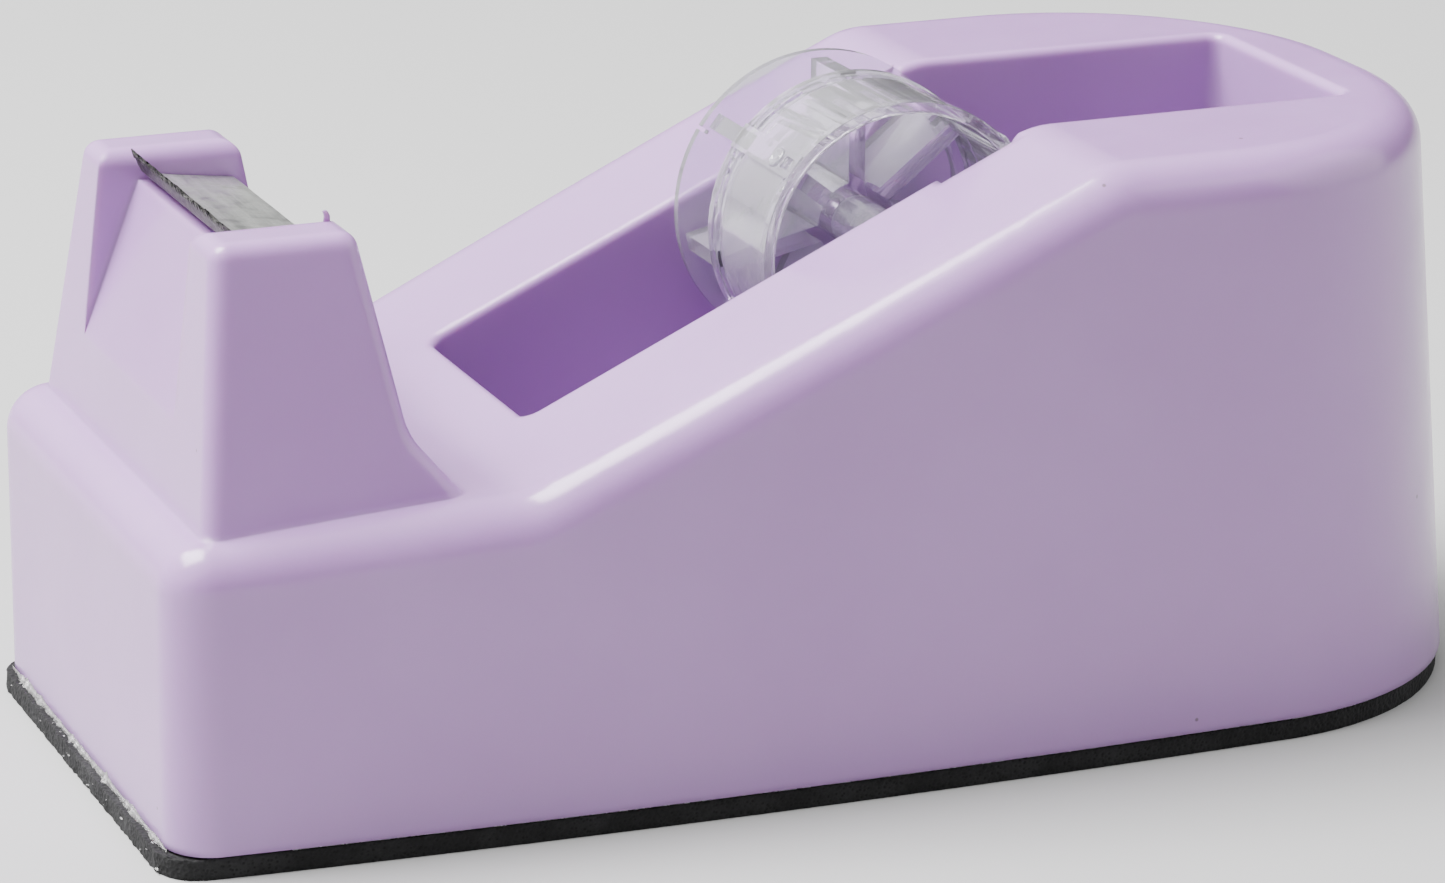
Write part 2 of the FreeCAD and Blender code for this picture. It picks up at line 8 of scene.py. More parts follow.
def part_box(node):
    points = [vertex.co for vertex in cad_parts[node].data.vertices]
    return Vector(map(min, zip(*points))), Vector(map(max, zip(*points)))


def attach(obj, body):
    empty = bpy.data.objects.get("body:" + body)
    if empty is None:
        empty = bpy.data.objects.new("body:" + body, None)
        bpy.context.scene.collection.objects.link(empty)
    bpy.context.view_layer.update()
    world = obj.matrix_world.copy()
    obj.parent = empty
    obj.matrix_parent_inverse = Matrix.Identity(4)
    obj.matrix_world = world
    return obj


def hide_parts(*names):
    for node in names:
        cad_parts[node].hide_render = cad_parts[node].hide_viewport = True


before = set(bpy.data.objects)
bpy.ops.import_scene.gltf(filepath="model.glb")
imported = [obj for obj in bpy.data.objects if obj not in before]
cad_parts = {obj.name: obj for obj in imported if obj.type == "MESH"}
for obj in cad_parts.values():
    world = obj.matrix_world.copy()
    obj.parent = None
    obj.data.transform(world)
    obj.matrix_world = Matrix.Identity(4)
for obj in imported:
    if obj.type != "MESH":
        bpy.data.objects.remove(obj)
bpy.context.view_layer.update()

# ---------------------------------------------------------------- camera and stage

CAMERA_SPOT = (-0.17205, -0.3953, 0.16075)
CAMERA_HEADING = 21.683
CAMERA_DIP = 18.396
CAMERA_ROLL = -0.225
CAMERA_LENS = 131.09
CAMERA_SHIFT = (0.0821, 0.0363)
SKY_TOWARD = (-0.66, 0.4, 0.85)
SKY_DIM = 0.02
SKY_BRIGHT = 2.6
FLOOR_GLOW = 0.04
KEY_WATTS = 19.0
KICKER_WATTS = 2.0

SKY_SPREAD = (0.2, 0.95)   # how far round from SKY_TOWARD the sky goes from dim to bright
SENSOR_WIDTH = 36
FLOOR_REACH = 3.0
FLOOR_WHITE = (0.42, 0.42, 0.42, 1)

MM = 0.001
WELD = 0.005 * MM
LILAC_DEEP = (0.395, 0.21, 0.49)
LILAC_PALE = (0.43, 0.24, 0.53)
# The next colour is painted shade, laid on the body near its foot.
LILAC_FOOT_SHADE = (0.37, 0.22, 0.47)
LILAC_SPECK = (0.2, 0.13, 0.2)
AXLE = (Vector(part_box("axle_pin")[0]) + Vector(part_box("axle_pin")[1])) / 2
BAND_ANGLES = (141.4, 38.5)   # degrees about the axle, from +X toward +Z
EAR_TOP = 49.8 * MM
BLADE_THICK = 0.42 * MM
TOOTH_PITCH = (0.6, 0.95)
NUB_SIDES = 28
FOAM_STEP = 0.45 * MM
SMEAR_STEPS = 160


def add_camera():
    """Long lens from the near front corner, looking a little down."""
    turn, dip, roll = (math.radians(a) for a in (CAMERA_HEADING, CAMERA_DIP, CAMERA_ROLL))
    ahead = Vector((math.cos(dip) * math.sin(turn), math.cos(dip) * math.cos(turn), -math.sin(dip)))
    level = Vector((math.cos(turn), -math.sin(turn), 0))
    below = ahead.cross(level)
    right = level * math.cos(roll) + below * math.sin(roll)
    down = below * math.cos(roll) - level * math.sin(roll)
    camera = bpy.data.objects.new("camera", bpy.data.cameras.new("camera"))
    bpy.context.scene.collection.objects.link(camera)
    axes = Matrix((right, -down, -ahead)).transposed().to_4x4()
    camera.matrix_world = Matrix.Translation(CAMERA_SPOT) @ axes
    camera.data.lens = CAMERA_LENS
    camera.data.sensor_width = SENSOR_WIDTH
    camera.data.shift_x, camera.data.shift_y = CAMERA_SHIFT
    camera.data.clip_start = 0.01
    bpy.context.scene.camera = camera


def add_light(name, spot, aim, size, watts):
    lamp = bpy.data.lights.new(name, "AREA")
    lamp.shape = "RECTANGLE"
    lamp.size, lamp.size_y = size
    lamp.energy = watts
    holder = bpy.data.objects.new(name, lamp)
    holder.location = spot
    holder.rotation_euler = (Vector(aim) - Vector(spot)).to_track_quat("-Z", "Y").to_euler()
    bpy.context.scene.collection.objects.link(holder)


def add_stage():
    """White sweep that glows a little, as a lit studio floor does."""
    mesh = bpy.data.meshes.new("floor")
    corners = [(x * FLOOR_REACH, y * FLOOR_REACH, 0)
               for x, y in ((-1, -1), (1, -1), (1, 1), (-1, 1))]
    mesh.from_pydata(corners, [], [(0, 1, 2, 3)])
    floor = bpy.data.objects.new("floor", mesh)
    bpy.context.scene.collection.objects.link(floor)
    paint = bpy.data.materials.new("floor_white")
    paint.use_nodes = True
    shader = paint.node_tree.nodes["Principled BSDF"]
    shader.inputs["Base Color"].default_value = FLOOR_WHITE
    shader.inputs["Roughness"].default_value = 0.9
    shader.inputs["Emission Color"].default_value = (1, 1, 1, 1)
    shader.inputs["Emission Strength"].default_value = FLOOR_GLOW
    mesh.materials.append(paint)
    add_sky()


def add_sky():
    """Soft white surround: bright above and toward the front face, dim toward the near side."""
    world = bpy.data.worlds.new("studio")
    world.use_nodes = True
    nodes, link = world.node_tree.nodes, world.node_tree.links.new
    way, share, level = (nodes.new(kind) for kind in
                         ("ShaderNodeTexCoord", "ShaderNodeVectorMath", "ShaderNodeMapRange"))
    share.operation = "DOT_PRODUCT"
    share.inputs[1].default_value = Vector(SKY_TOWARD).normalized()
    for key, amount in zip(("From Min", "From Max", "To Min", "To Max"),
                           (*SKY_SPREAD, SKY_DIM, SKY_BRIGHT)):
        level.inputs[key].default_value = amount
    link(way.outputs["Generated"], share.inputs[0])
    link(share.outputs["Value"], level.inputs["Value"])
    link(level.outputs["Result"], nodes["Background"].inputs["Strength"])
    nodes["Background"].inputs["Color"].default_value = (1, 1, 1, 1)
    bpy.context.scene.world = world


# ---------------------------------------------------------------- finishes

class Finish:
    """A material and short calls for its nodes. Patterns lie on Object coordinates."""

    def __init__(self, name, **sockets):
        self.material = bpy.data.materials.new(name)
        self.material.use_nodes = True
        self.nodes = self.material.node_tree.nodes
        self.shader = self.nodes["Principled BSDF"]
        for socket, amount in sockets.items():
            self.shader.inputs[socket.replace("_", " ")].default_value = amount
        self.place = self.nodes.new("ShaderNodeTexCoord").outputs["Object"]

    def link(self, out, into):
        self.material.node_tree.links.new(out, into)

    def stretched(self, scale):
        node = self.nodes.new("ShaderNodeMapping")
        node.inputs["Scale"].default_value = scale
        self.link(self.place, node.inputs["Vector"])
        return node.outputs["Vector"]

    def noise(self, scale, detail=3, roughness=0.5, place=None):
        node = self.nodes.new("ShaderNodeTexNoise")
        node.inputs["Scale"].default_value = scale
        node.inputs["Detail"].default_value = detail
        node.inputs["Roughness"].default_value = roughness
        self.link(place or self.place, node.inputs["Vector"])
        return node.outputs["Fac"]

    def cells(self, scale):
        node = self.nodes.new("ShaderNodeTexVoronoi")
        node.inputs["Scale"].default_value = scale
        self.link(self.place, node.inputs["Vector"])
        return node.outputs["Distance"]

    def height(self):
        node = self.nodes.new("ShaderNodeSeparateXYZ")
        self.link(self.place, node.inputs["Vector"])
        return node.outputs["Z"]

    def ranged(self, source, low, high, to_low, to_high):
        node = self.nodes.new("ShaderNodeMapRange")
        for key, amount in zip(("From Min", "From Max", "To Min", "To Max"),
                               (low, high, to_low, to_high)):
            node.inputs[key].default_value = amount
        self.link(source, node.inputs["Value"])
        return node.outputs["Result"]

    def blend(self, factor, first, second):
        node = self.nodes.new("ShaderNodeMix")
        node.data_type = "RGBA"
        colours = [s for s in node.inputs if s.type == "RGBA"]
        for socket, colour in zip(colours, (first, second)):
            if isinstance(colour, tuple):
                socket.default_value = (*colour, 1)
            else:
                self.link(colour, socket)
        self.link(factor, node.inputs["Factor"])
        return [s for s in node.outputs if s.type == "RGBA"][0]

    def bump(self, source, depth, under=None):
        node = self.nodes.new("ShaderNodeBump")
        node.inputs["Distance"].default_value = depth
        self.link(source, node.inputs["Height"])
        if under:
            self.link(under, node.inputs["Normal"])
        return node.outputs["Normal"]

    def soft_edges(self, radius):
        node = self.nodes.new("ShaderNodeBevel")
        node.samples = 6
        node.inputs["Radius"].default_value = radius
        return node.outputs["Normal"]

    def paint(self, colour=None, rough=None, normal=None):
        for out, socket in ((colour, "Base Color"), (rough, "Roughness"), (normal, "Normal")):
            if out:
                self.link(out, self.shader.inputs[socket])
        return self.material


def lilac_moulding():
    """Glossy lilac plastic: faint flow clouding, painted shade darkening toward the foot, a few
    dark specks, fine polish marks.
    """
    f = Finish("lilac_moulding", Subsurface_Weight=0.3, Subsurface_Scale=0.0022, IOR=1.5,
               Coat_Weight=0.25, Coat_Roughness=0.08)
    f.shader.inputs["Subsurface Radius"].default_value = (1.0, 0.45, 0.75)
    cloud = f.ranged(f.noise(38, 4, 0.55), 0.3, 0.7, 0, 1)
    body = f.blend(cloud, LILAC_DEEP, LILAC_PALE)
    # Painted shade: the body is darkened toward the foot, strongest in the lowest 2 mm and gone by
    # 9 mm.
    foot = f.ranged(f.height(), 0.002, 0.009, 0.35, 0)
    body = f.blend(foot, body, LILAC_FOOT_SHADE)
    speck = f.ranged(f.cells(130), 0.018, 0.03, 1, 0)
    body = f.blend(speck, body, LILAC_SPECK)
    rough = f.ranged(f.noise(210, 5, 0.6), 0.3, 0.7, 0.17, 0.27)
    ripple = f.bump(f.noise(55, 2), 0.00012, f.soft_edges(0.9 * MM))
    fine = f.bump(f.noise(2600, 2), 0.000006, ripple)
    return f.paint(body, rough, fine)


def brushed_steel():
    """Rolled steel strip: grain across the blade, scuffs and dull blotches."""
    f = Finish("brushed_steel", Metallic=1.0)
    grain = f.noise(900, 4, 0.7, f.stretched((1.0, 0.06, 1.0)))
    blotch = f.noise(420, 5, 0.7)
    tone = f.blend(f.ranged(grain, 0.35, 0.65, 0, 1), (0.42, 0.43, 0.42), (0.66, 0.67, 0.65))
    tone = f.blend(f.ranged(blotch, 0.5, 0.68, 0, 0.75), tone, (0.24, 0.24, 0.23))
    rough = f.ranged(blotch, 0.3, 0.7, 0.3, 0.52)
    normal = f.bump(blotch, 0.00006, f.bump(grain, 0.00002))
    return f.paint(tone, rough, normal)


def cut_steel_painted_shade():
    """Ground teeth and lip top, near black: pitted steel, its darkness partly painted shade."""
    f = Finish("cut_steel_painted_shade", Metallic=1.0)
    pits = f.noise(1900, 4, 0.75)
    tone = f.blend(f.ranged(pits, 0.4, 0.6, 0, 1), (0.012, 0.012, 0.012), (0.2, 0.2, 0.19))
    return f.paint(tone, f.ranged(pits, 0.3, 0.7, 0.35, 0.6), f.bump(pits, 0.00008))


def clear_styrene():
    """Clear moulded polystyrene, faintly lilac grey, with flow lines and handling haze."""
    f = Finish("clear_styrene", Transmission_Weight=0.87, IOR=1.45, Coat_Weight=0.5)
    flow = f.noise(160, 3, 0.5, f.stretched((1.0, 3.0, 1.0)))
    tone = f.blend(f.ranged(flow, 0.3, 0.7, 0, 1), (0.88, 0.85, 0.95), (0.97, 0.96, 1.0))
    haze = f.ranged(f.noise(330, 4, 0.6), 0.35, 0.75, 0.02, 0.13)
    return f.paint(tone, haze, f.bump(flow, 0.00006, f.bump(f.noise(900, 2), 0.000008)))


def black_foam():
    """Closed-cell foam: open cut cells with painted shade in their pits, dusty greyed tops."""
    f = Finish("black_foam", Specular_IOR_Level=0.3)
    cells = f.cells(2600)
    dust = f.noise(190, 5, 0.65)
    tone = f.blend(f.ranged(dust, 0.42, 0.72, 0, 1), (0.009, 0.009, 0.0095), (0.03, 0.03, 0.031))
    # Painted shade: the cell pits are darkened to near black.
    tone = f.blend(f.ranged(cells, 0.15, 0.4, 0.7, 0), tone, (0.003, 0.003, 0.003))
    normal = f.bump(cells, 0.00014, f.bump(dust, 0.00025))
    return f.paint(tone, f.ranged(dust, 0.3, 0.7, 0.72, 0.95), normal)


def clear_glue():
    """Clear adhesive: uneven, slightly yellow, wet in places."""
    f = Finish("clear_glue", Transmission_Weight=0.85, IOR=1.45)
    lump = f.noise(700, 4, 0.6)
    tone = f.blend(f.ranged(lump, 0.35, 0.7, 0, 1), (0.93, 0.93, 0.92), (0.8, 0.79, 0.78))
    return f.paint(tone, f.ranged(lump, 0.3, 0.7, 0.12, 0.4), f.bump(lump, 0.00012))


def grey_cover():
    """Matte grey plastic plate with a fine spark-eroded texture."""
    f = Finish("grey_cover")
    grain = f.noise(1500, 3, 0.6)
    tone = f.blend(f.noise(60, 3), (0.07, 0.065, 0.07), (0.1, 0.095, 0.1))
    return f.paint(tone, f.ranged(grain, 0.3, 0.7, 0.5, 0.7), f.bump(grain, 0.00003))


def cast_weight():
    """Rough grey casting."""
    f = Finish("cast_weight", Metallic=0.6)
    sand = f.noise(480, 6, 0.7)
    tone = f.blend(f.ranged(sand, 0.3, 0.7, 0, 1), (0.16, 0.15, 0.14), (0.3, 0.29, 0.27))
    return f.paint(tone, f.ranged(sand, 0.3, 0.7, 0.6, 0.85), f.bump(sand, 0.0003))


# ---------------------------------------------------------------- mesh tools

def finished(name, mesh, material, body):
    """A piece at the origin that rides on a body."""
    piece = bpy.data.objects.new(name, mesh)
    bpy.context.scene.collection.objects.link(piece)
    mesh.materials.clear()
    mesh.materials.append(material)
    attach(piece, body)
    return piece


def baked(holder):
    """The evaluated mesh of an object, and the object gone."""
    bpy.context.view_layer.update()
    graph = bpy.context.evaluated_depsgraph_get()
    mesh = bpy.data.meshes.new_from_object(holder.evaluated_get(graph), depsgraph=graph)
    bpy.data.objects.remove(holder)
    return mesh


def holder_of(mesh):
    holder = bpy.data.objects.new("holder", mesh)
    bpy.context.scene.collection.objects.link(holder)
    return holder


def shaded_smooth(mesh):
    for face in mesh.polygons:
        face.use_smooth = True


def bridge(shell, loops):
    """Faces between each loop of points and the next."""
    for one, two in zip(loops, loops[1:]):
        for n in range(len(one)):
            m = (n + 1) % len(one)
            shell.faces.new((one[n], one[m], two[m], two[n]))


def closed_mesh(shell, name):
    """Mesh from a closed shell, with its faces turned outwards."""
    bmesh.ops.recalc_face_normals(shell, faces=shell.faces)
    mesh = bpy.data.meshes.new(name)
    shell.to_mesh(mesh)
    shell.free()
    return mesh


def merged_copy(node):
    """Welded copy of a CAD node's mesh with flat faces joined up."""
    shell = bmesh.new()
    shell.from_mesh(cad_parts[node].data)
    bmesh.ops.remove_doubles(shell, verts=shell.verts, dist=WELD)
    bmesh.ops.dissolve_limit(shell, angle_limit=math.radians(0.5), verts=shell.verts,
                             edges=shell.edges)
    mesh = bpy.data.meshes.new(f"{node}_copy")
    shell.to_mesh(mesh)
    shell.free()
    return mesh


def joined(mesh, additions, cuts=()):
    """Mesh with solids added to it, and others cut away."""
    for operation, solids in (("UNION", additions), ("DIFFERENCE", cuts)):
        for solid in solids:
            body, tool = holder_of(mesh), holder_of(solid)
            change = body.modifiers.new("change", "BOOLEAN")
            change.operation, change.object, change.solver = operation, tool, "EXACT"
            mesh = baked(body)
            bpy.data.objects.remove(tool)
    return mesh


def softened(mesh, width):
    """Rounds the sharp edges a little and shades the rest smooth."""
    holder = holder_of(mesh)
    bevel = holder.modifiers.new("bevel", "BEVEL")
    bevel.width, bevel.segments = width, 2
    bevel.limit_method, bevel.angle_limit = "ANGLE", math.radians(32)
    bevel.use_clamp_overlap = True
    mesh = baked(holder)
    shaded_smooth(mesh)
    holder = holder_of(mesh)
    weigh = holder.modifiers.new("weigh", "WEIGHTED_NORMAL")
    weigh.keep_sharp = True
    return baked(holder)


def on_spool(turn, radius, along):
    """Point at an angle about the spool's axle, from +X toward +Z."""
    return Vector((AXLE.x + radius * math.cos(turn), along, AXLE.z + radius * math.sin(turn)))


def ring(inner, outer, near, far, sides=96):
    """Closed ring about the axle with a rectangular section."""
    shell = bmesh.new()
    loops = []
    for radius, along in ((inner, near), (outer, near), (outer, far), (inner, far)):
        loops.append([shell.verts.new(on_spool(math.tau * n / sides, radius, along))
                      for n in range(sides)])
    bridge(shell, loops + loops[:1])
    return closed_mesh(shell, "ring")


def bar(angle, inner, outer, width, near, far):
    """Block that stands out from the axle at an angle in degrees."""
    turn = math.radians(angle)
    side = Vector((-math.sin(turn), 0, math.cos(turn))) * width / 2
    shell = bmesh.new()
    ends = [[shell.verts.new(on_spool(turn, radius, along) + side * s)
             for radius, s in ((inner, -1), (outer, -1), (outer, 1), (inner, 1))]
            for along in (near, far)]
    for end in ends:
        shell.faces.new(end)
    bridge(shell, ends)
    return closed_mesh(shell, "bar")


# ---------------------------------------------------------------- clear spool

def clear_wheel(material):
    """Hub, spokes, lands and flange, with the step ring and the slit in the flange rim."""
    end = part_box("spool_wheel")[1][1]
    step = ring(11.0 * MM, 12.05 * MM, 3.8 * MM, 5.1 * MM)
    slit = bar(BAND_ANGLES[0] + 5.5, 12.3 * MM, 14 * MM, 0.35 * MM, end - 1.2 * MM, end + 1 * MM)
    mesh = joined(merged_copy("spool_wheel"), [step], [slit])
    piece = finished("wheel_clear", softened(mesh, 0.14 * MM), material, "spool")
    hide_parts("spool_wheel")


def clear_barrel(material):
    """Barrel with a rounded lip at each end, two long bands and a small window."""
    low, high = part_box("spool_barrel")
    near, far = low[1], high[1]
    outer = (high[0] - low[0]) / 2
    lip = ring(outer - 0.9 * MM, outer + 0.12 * MM, near, near + 0.9 * MM)
    back_lip = ring(outer - 0.7 * MM, outer + 0.22 * MM, far - 1.0 * MM, far - 0.2 * MM)
    groove = ring(outer - 0.28 * MM, outer + 0.4 * MM, far - 2.6 * MM, far - 1.5 * MM)
    bands = [bar(angle, outer - 0.5 * MM, outer + 0.3 * MM, 2.3 * MM,
                 near + 0.05 * MM, far - 0.1 * MM) for angle in BAND_ANGLES]
    window = bar(BAND_ANGLES[0], outer - 0.1 * MM, outer + 1 * MM, 1.1 * MM,
                 near + 0.9 * MM, near + 2.3 * MM)
    mesh = joined(merged_copy("spool_barrel"), [lip, back_lip], [groove])
    mesh = joined(mesh, bands, [window])
    piece = finished("barrel_clear", softened(mesh, 0.12 * MM), material, "spool")
    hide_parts("spool_barrel")


def snap_nub(material):
    """Small round snap bump beside the window."""
    low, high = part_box("spool_barrel")
    outer = (high[0] - low[0]) / 2
    turn = math.radians(BAND_ANGLES[0])
    out = Vector((math.cos(turn), 0, math.sin(turn)))
    side = Vector((-math.sin(turn), 0, math.cos(turn)))
    centre = on_spool(turn, outer + 0.28 * MM, low[1] + 3.6 * MM)
    profile = [(0.95, -0.12), (0.92, 0.12), (0.75, 0.24), (0.55, 0.2), (0.42, 0.05), (0.3, 0.12),
               (0.0001, 0.16)]   # radius and height; the last ring closes to a point
    turns = [math.tau * n / NUB_SIDES for n in range(NUB_SIDES)]
    across = Vector((0, 1, 0))
    shell = bmesh.new()
    loops = [[shell.verts.new(centre + (side * math.cos(a) + across * math.sin(a)) * r * MM
                              + out * h * MM) for a in turns] for r, h in profile]
    bridge(shell, loops)
    shell.faces.new(loops[0])
    bmesh.ops.remove_doubles(shell, verts=shell.verts, dist=WELD)
    mesh = closed_mesh(shell, "nub")
    shaded_smooth(mesh)
    finished("snap_nub", mesh, material, "spool")


# ---------------------------------------------------------------- blade

def toothed_blade(plate, teeth):
    """Sheet strip: flat on the seat, a soft bend, and a lip that ends in ragged teeth."""
    low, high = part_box("cutter_blade")
    dice = random.Random(7)
    half = high[1] - 0.05 * MM
    rear, front = high[0], low[0]
    seat_rear, seat_front = low[2] + 0.02 * MM, low[2] + 0.9 * MM
    tip = high[2]
    line = [(rear - 0.02 * MM, seat_rear), (rear - 2.6 * MM, seat_rear + 0.3 * MM),
            (rear - 5.2 * MM, seat_rear + 0.62 * MM), (front + 2.3 * MM, seat_front - 0.02 * MM),
            (front + 1.5 * MM, seat_front + 0.22 * MM), (front + 1.0 * MM, seat_front + 0.7 * MM),
            (front + 0.68 * MM, seat_front + 1.3 * MM), (front + 0.5 * MM, tip - 1.0 * MM)]
    marks, across = [], -half
    while across < half:
        pitch = dice.uniform(*TOOTH_PITCH) * MM
        marks += [(across, 0.0),
                  (across + pitch * dice.uniform(0.35, 0.6), dice.uniform(0.5, 0.95))]
        across += pitch
    marks = [m for m in marks if m[0] < half] + [(half, 0.0)]
    shell = bmesh.new()
    rows = []
    for across, reach in marks:
        wave = 0.05 * MM * math.sin(across * 900)
        under = line + [(front + (0.34 - 0.3 * reach) * MM, tip - (0.9 - 0.88 * reach) * MM)]
        points = []
        before, after = under[:1] + under[:-1], under[1:] + under[-1:]
        for (x, z), (ax, az), (bx, bz) in zip(under, before, after):
            run = Vector((bx - ax, bz - az)).normalized()
            up = Vector((-run.y, run.x)) * -BLADE_THICK
            points.append(((x, z), (x + up.x, z + up.y)))
        last = points[-1]
        points[-1] = (last[0], (last[0][0] + 0.1 * MM, last[0][1] + 0.03 * MM))
        rows.append([(shell.verts.new((a[0] + wave * 0.2, across, a[1])),
                      shell.verts.new((b[0] + wave * 0.2, across, b[1]))) for a, b in points])
    count = len(rows[0])
    for one, two in zip(rows, rows[1:]):
        for n in range(count - 1):
            # The top faces of the lip take the near-black steel, which is partly painted shade.
            toothy = n >= count - 4
            for side in (0, 1):
                face = shell.faces.new((one[n][side], one[n + 1][side],
                                        two[n + 1][side], two[n][side]))
                face.material_index = 1 if toothy else 0
        for n in (0, count - 1):
            face = shell.faces.new((one[n][0], one[n][1], two[n][1], two[n][0]))
            face.material_index = 1 if n else 0
    for row in (rows[0], rows[-1]):
        for n in range(count - 1):
            shell.faces.new((row[n][0], row[n][1], row[n + 1][1], row[n + 1][0]))
    mesh = closed_mesh(shell, "blade")
    for face in mesh.polygons:
        face.use_smooth = face.material_index == 0
    mesh.set_sharp_from_angle(angle=math.radians(40))
    marks_of = [face.material_index for face in mesh.polygons]
    piece = finished("blade_toothed", mesh, plate, "housing")
    mesh.materials.append(teeth)
    for face, mark in zip(mesh.polygons, marks_of):
        face.material_index = mark
    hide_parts("cutter_blade")


# ---------------------------------------------------------------- foam, glue and burr

def foam_outline():
    """Outline of the foam sheet, anticlockwise, with points at an even small spacing."""
    shell = bmesh.new()
    shell.from_mesh(merged_copy("foam_pad"))
    top = max((face for face in shell.faces if face.normal.z > 0.9),
              key=lambda f: f.calc_area())
    corners = [vert.co.copy() for vert in top.verts]
    shell.free()
    points = []
    for start, end in zip(corners, corners[1:] + corners[:1]):
        steps = max(1, round((end - start).length / FOAM_STEP))
        points += [start.lerp(end, n / steps) for n in range(steps)]
    return points


def foam_base(material):
    """Foam sheet with a knife-cut edge that wanders a little, roughest at the front."""
    low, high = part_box("foam_pad")
    points = foam_outline()
    outs = []
    for before, after in zip(points[-1:] + points[:-1], points[1:] + points[:1]):
        run = after - before
        outs.append(Vector((run.y, -run.x, 0)).normalized())
    thick = high[2] - low[2]
    levels = (0, 0.06, 0.25, 0.45, 0.65, 0.85, 0.97, 1)
    shell = bmesh.new()
    loops = []
    for level in levels:
        loop = []
        for spot, out in zip(points, outs):
            place = Vector((spot.x, spot.y, low[2] + thick * level))
            front = min(max((-0.055 - spot.x) / 0.006, 0), 1)
            rag = noise.noise(place * 900) * 0.5 + noise.noise(place * 2600) * 0.5 + 0.45
            depth = (0.05 + 0.2 * front) * max(rag, 0)
            depth += 0.05 if level in (0, 1) else 0
            dip = front * max(noise.noise(place * 1500), 0) * 0.25 if level > 0.9 else 0
            loop.append(shell.verts.new(place - out * depth * MM - Vector((0, 0, dip * MM))))
        loops.append(loop)
    bridge(shell, loops)
    for loop in (loops[0], loops[-1]):
        shell.faces.new(loop)
    mesh = closed_mesh(shell, "foam")
    for face in mesh.polygons:
        face.use_smooth = abs(face.normal.z) < 0.7
    piece = finished("foam_sheet", mesh, material, "housing")
    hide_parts("foam_pad")


def glue_tree(material):
    """Beads on some of the points along each line: flattened lumps of uneven size."""
    tree = bpy.data.node_groups.new("glue_beads", "GeometryNodeTree")
    tree.interface.new_socket("Geometry", in_out="INPUT", socket_type="NodeSocketGeometry")
    tree.interface.new_socket("Beads", in_out="INPUT", socket_type="NodeSocketInt")
    tree.interface.new_socket("Bead radius", in_out="INPUT", socket_type="NodeSocketFloat")
    tree.interface.new_socket("Geometry", in_out="OUTPUT", socket_type="NodeSocketGeometry")
    new, link = tree.nodes.new, tree.links.new
    inlet, outlet = new("NodeGroupInput"), new("NodeGroupOutput")
    curve, resample = new("GeometryNodeMeshToCurve"), new("GeometryNodeResampleCurve")
    link(inlet.outputs["Geometry"], curve.inputs["Mesh"])
    link(curve.outputs["Curve"], resample.inputs["Curve"])
    link(inlet.outputs["Beads"], resample.inputs["Count"])
    points = new("GeometryNodeInstanceOnPoints")
    bead = new("GeometryNodeMeshIcoSphere")
    bead.inputs["Subdivisions"].default_value = 2
    link(inlet.outputs["Bead radius"], bead.inputs["Radius"])
    link(resample.outputs["Curve"], points.inputs["Points"])
    link(bead.outputs["Mesh"], points.inputs["Instance"])
    size, keep = new("FunctionNodeRandomValue"), new("FunctionNodeRandomValue")
    size.data_type = "FLOAT_VECTOR"
    vectors = [s for s in size.inputs if s.type == "VECTOR"]
    vectors[0].default_value, vectors[1].default_value = (0.3, 0.3, 0.15), (1.1, 2.4, 0.7)
    size.inputs["Seed"].default_value = 11
    keep.data_type = "BOOLEAN"
    keep.inputs["Probability"].default_value = 0.11
    keep.inputs["Seed"].default_value = 5
    link([s for s in size.outputs if s.type == "VECTOR"][0], points.inputs["Scale"])
    link([s for s in keep.outputs if s.type == "BOOLEAN"][0], points.inputs["Selection"])
    real, paint = new("GeometryNodeRealizeInstances"), new("GeometryNodeSetMaterial")
    paint.inputs["Material"].default_value = material
    link(points.outputs["Instances"], real.inputs["Geometry"])
    link(real.outputs["Geometry"], paint.inputs["Geometry"])
    link(paint.outputs["Geometry"], outlet.inputs["Geometry"])
    return tree


def glue_residue(material):
    """Crumbs of dried glue on the front ledge of the foam and on its cut face."""
    low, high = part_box("foam_pad")
    shell_low, shell_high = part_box("body_shell")
    ledge, face = shell_low[0] - 0.45 * MM, low[0] + 0.1 * MM
    reach = shell_high[1] - 6.5 * MM
    ends = [(ledge, high[2] + 0.02 * MM), (face, low[2] + 0.62 * high[2]),
            (face, low[2] + 0.25 * high[2])]
    mesh = bpy.data.meshes.new("glue_line")
    mesh.from_pydata([(x, y, z) for x, z in ends for y in (reach, -reach)],
                     [(0, 1), (2, 3), (4, 5)], [])
    holder = holder_of(mesh)
    tree = glue_tree(material)
    change = holder.modifiers.new("beads", "NODES")
    change.node_group = tree
    ids = {item.name: item.identifier for item in tree.interface.items_tree
           if item.in_out == "INPUT"}
    change[ids["Beads"]] = 84
    change[ids["Bead radius"]] = 0.13 * MM
    beads = baked(holder)
    shaded_smooth(beads)
    finished("glue_crumbs", beads, material, "housing")


def prism_strip(name, rows, material):
    """Closed strip with a triangular section, from rows of three corners."""
    shell = bmesh.new()
    loops = [[shell.verts.new(corner) for corner in row] for row in rows]
    bridge(shell, loops)
    shell.faces.new(loops[0])
    shell.faces.new(loops[-1])
    mesh = closed_mesh(shell, name)
    shaded_smooth(mesh)
    finished(name, mesh, material, "housing")


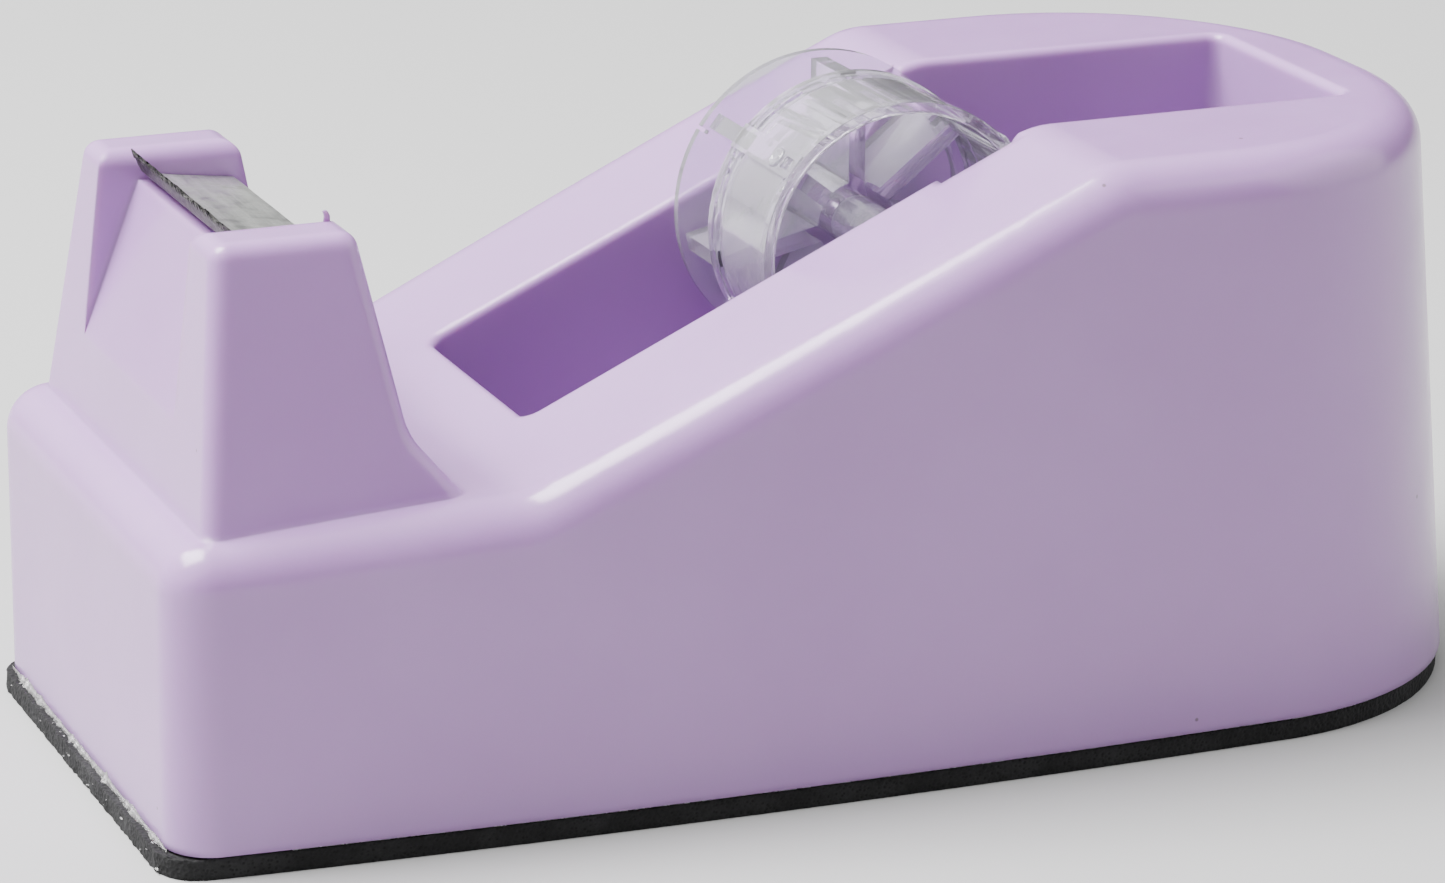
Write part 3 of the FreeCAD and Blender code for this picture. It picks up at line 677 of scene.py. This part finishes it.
def glue_smear(material):
    """Film of squeezed glue in the corner between the front face and the foam ledge."""
    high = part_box("foam_pad")[1]
    shell_low, shell_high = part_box("body_shell")
    front, ledge = shell_low[0] - 0.02 * MM, high[2] + 0.01 * MM
    reach = shell_high[1] - 6.2 * MM
    rows = []
    for n in range(SMEAR_STEPS + 1):
        across = reach - 2 * reach * n / SMEAR_STEPS
        coarse = 0.5 + 0.9 * noise.noise(Vector((across * 260, 3.1, 0)))
        fine = 0.5 + 0.8 * noise.noise(Vector((across * 1100, 7.7, 0)))
        end = min(n, SMEAR_STEPS - n, 12) / 12
        width = (0.12 + 0.5 * max(coarse, 0) * max(fine, 0.2)) * end + 0.02
        climb = (0.1 + 0.75 * max(coarse, 0) ** 2 * max(fine, 0.3)) * end + 0.02
        rows.append(((front, across, ledge), (front, across, ledge + 0.19 * MM + climb * MM),
                     (front - width * MM, across, ledge)))
    prism_strip("glue_smear", rows, material)


def glue_seam(material):
    """Thin pale line of glue along the near side, between the shell's foot and the foam."""
    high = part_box("foam_pad")[1]
    side = [spot for spot in foam_outline() if spot.y < 0 and -0.052 < spot.x < 0.045]
    rows = []
    for spot in sorted(side, key=lambda s: s.x):
        wander = 0.09 * noise.noise(Vector((spot.x * 500, 1.3, 0)))
        rows.append((Vector((spot.x, spot.y + 0.35 * MM, high[2] + 0.01 * MM)),
                     Vector((spot.x, spot.y + 0.35 * MM, high[2] + 0.19 * MM)),
                     Vector((spot.x, spot.y - (0.12 + wander) * MM, high[2] + 0.1 * MM))))
    prism_strip("glue_seam", rows, material)


def moulding_burr(material):
    """Short curl of flash left on the top of the near ear."""
    blade_low, blade_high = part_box("cutter_blade")
    base = Vector((blade_high[0] - 0.6 * MM, blade_low[1] - 1.3 * MM, EAR_TOP))
    line = [(0, 0, -0.15), (0.05, 0.02, 0.35), (-0.02, 0.0, 0.6), (-0.1, 0.03, 0.78),
            (-0.22, 0.05, 0.84)]
    widths = (0.6, 0.5, 0.4, 0.35, 0.25)
    shell = bmesh.new()
    loops = []
    for (x, y, z), width in zip(line, widths):
        spot = base + Vector((x, y, z)) * MM
        loops.append([shell.verts.new(spot + Vector((dx * width / 2, dy * 0.11, dx * 0.06)) * MM)
                      for dx, dy in ((-1, -1), (1, -1), (1, 1), (-1, 1))])
    bridge(shell, loops)
    shell.faces.new(loops[0])
    shell.faces.new(loops[-1])
    mesh = closed_mesh(shell, "burr")
    finished("moulding_burr", softened(mesh, 0.05 * MM), material, "housing")


add_camera()
add_stage()
add_light("key", (-0.31, 0.13, 0.68), (-0.01, 0, 0.02), (0.45, 0.45), KEY_WATTS)
add_light("rear_kicker", (0.55, -0.22, 0.3), (0.05, 0, 0.03), (0.6, 0.6), KICKER_WATTS)

lilac = lilac_moulding()
styrene = clear_styrene()
glue = clear_glue()
for node, material in (("body_shell", lilac), ("ballast_block", cast_weight()),
                       ("bottom_cover", grey_cover()), ("adhesive_film", glue),
                       ("axle_pin", styrene)):
    for holder_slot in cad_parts[node].material_slots:
        holder_slot.material = material
clear_wheel(styrene)
clear_barrel(styrene)
snap_nub(styrene)
toothed_blade(brushed_steel(), cut_steel_painted_shade())
foam_base(black_foam())
glue_residue(glue)
glue_smear(glue)
glue_seam(glue)
moulding_burr(lilac)
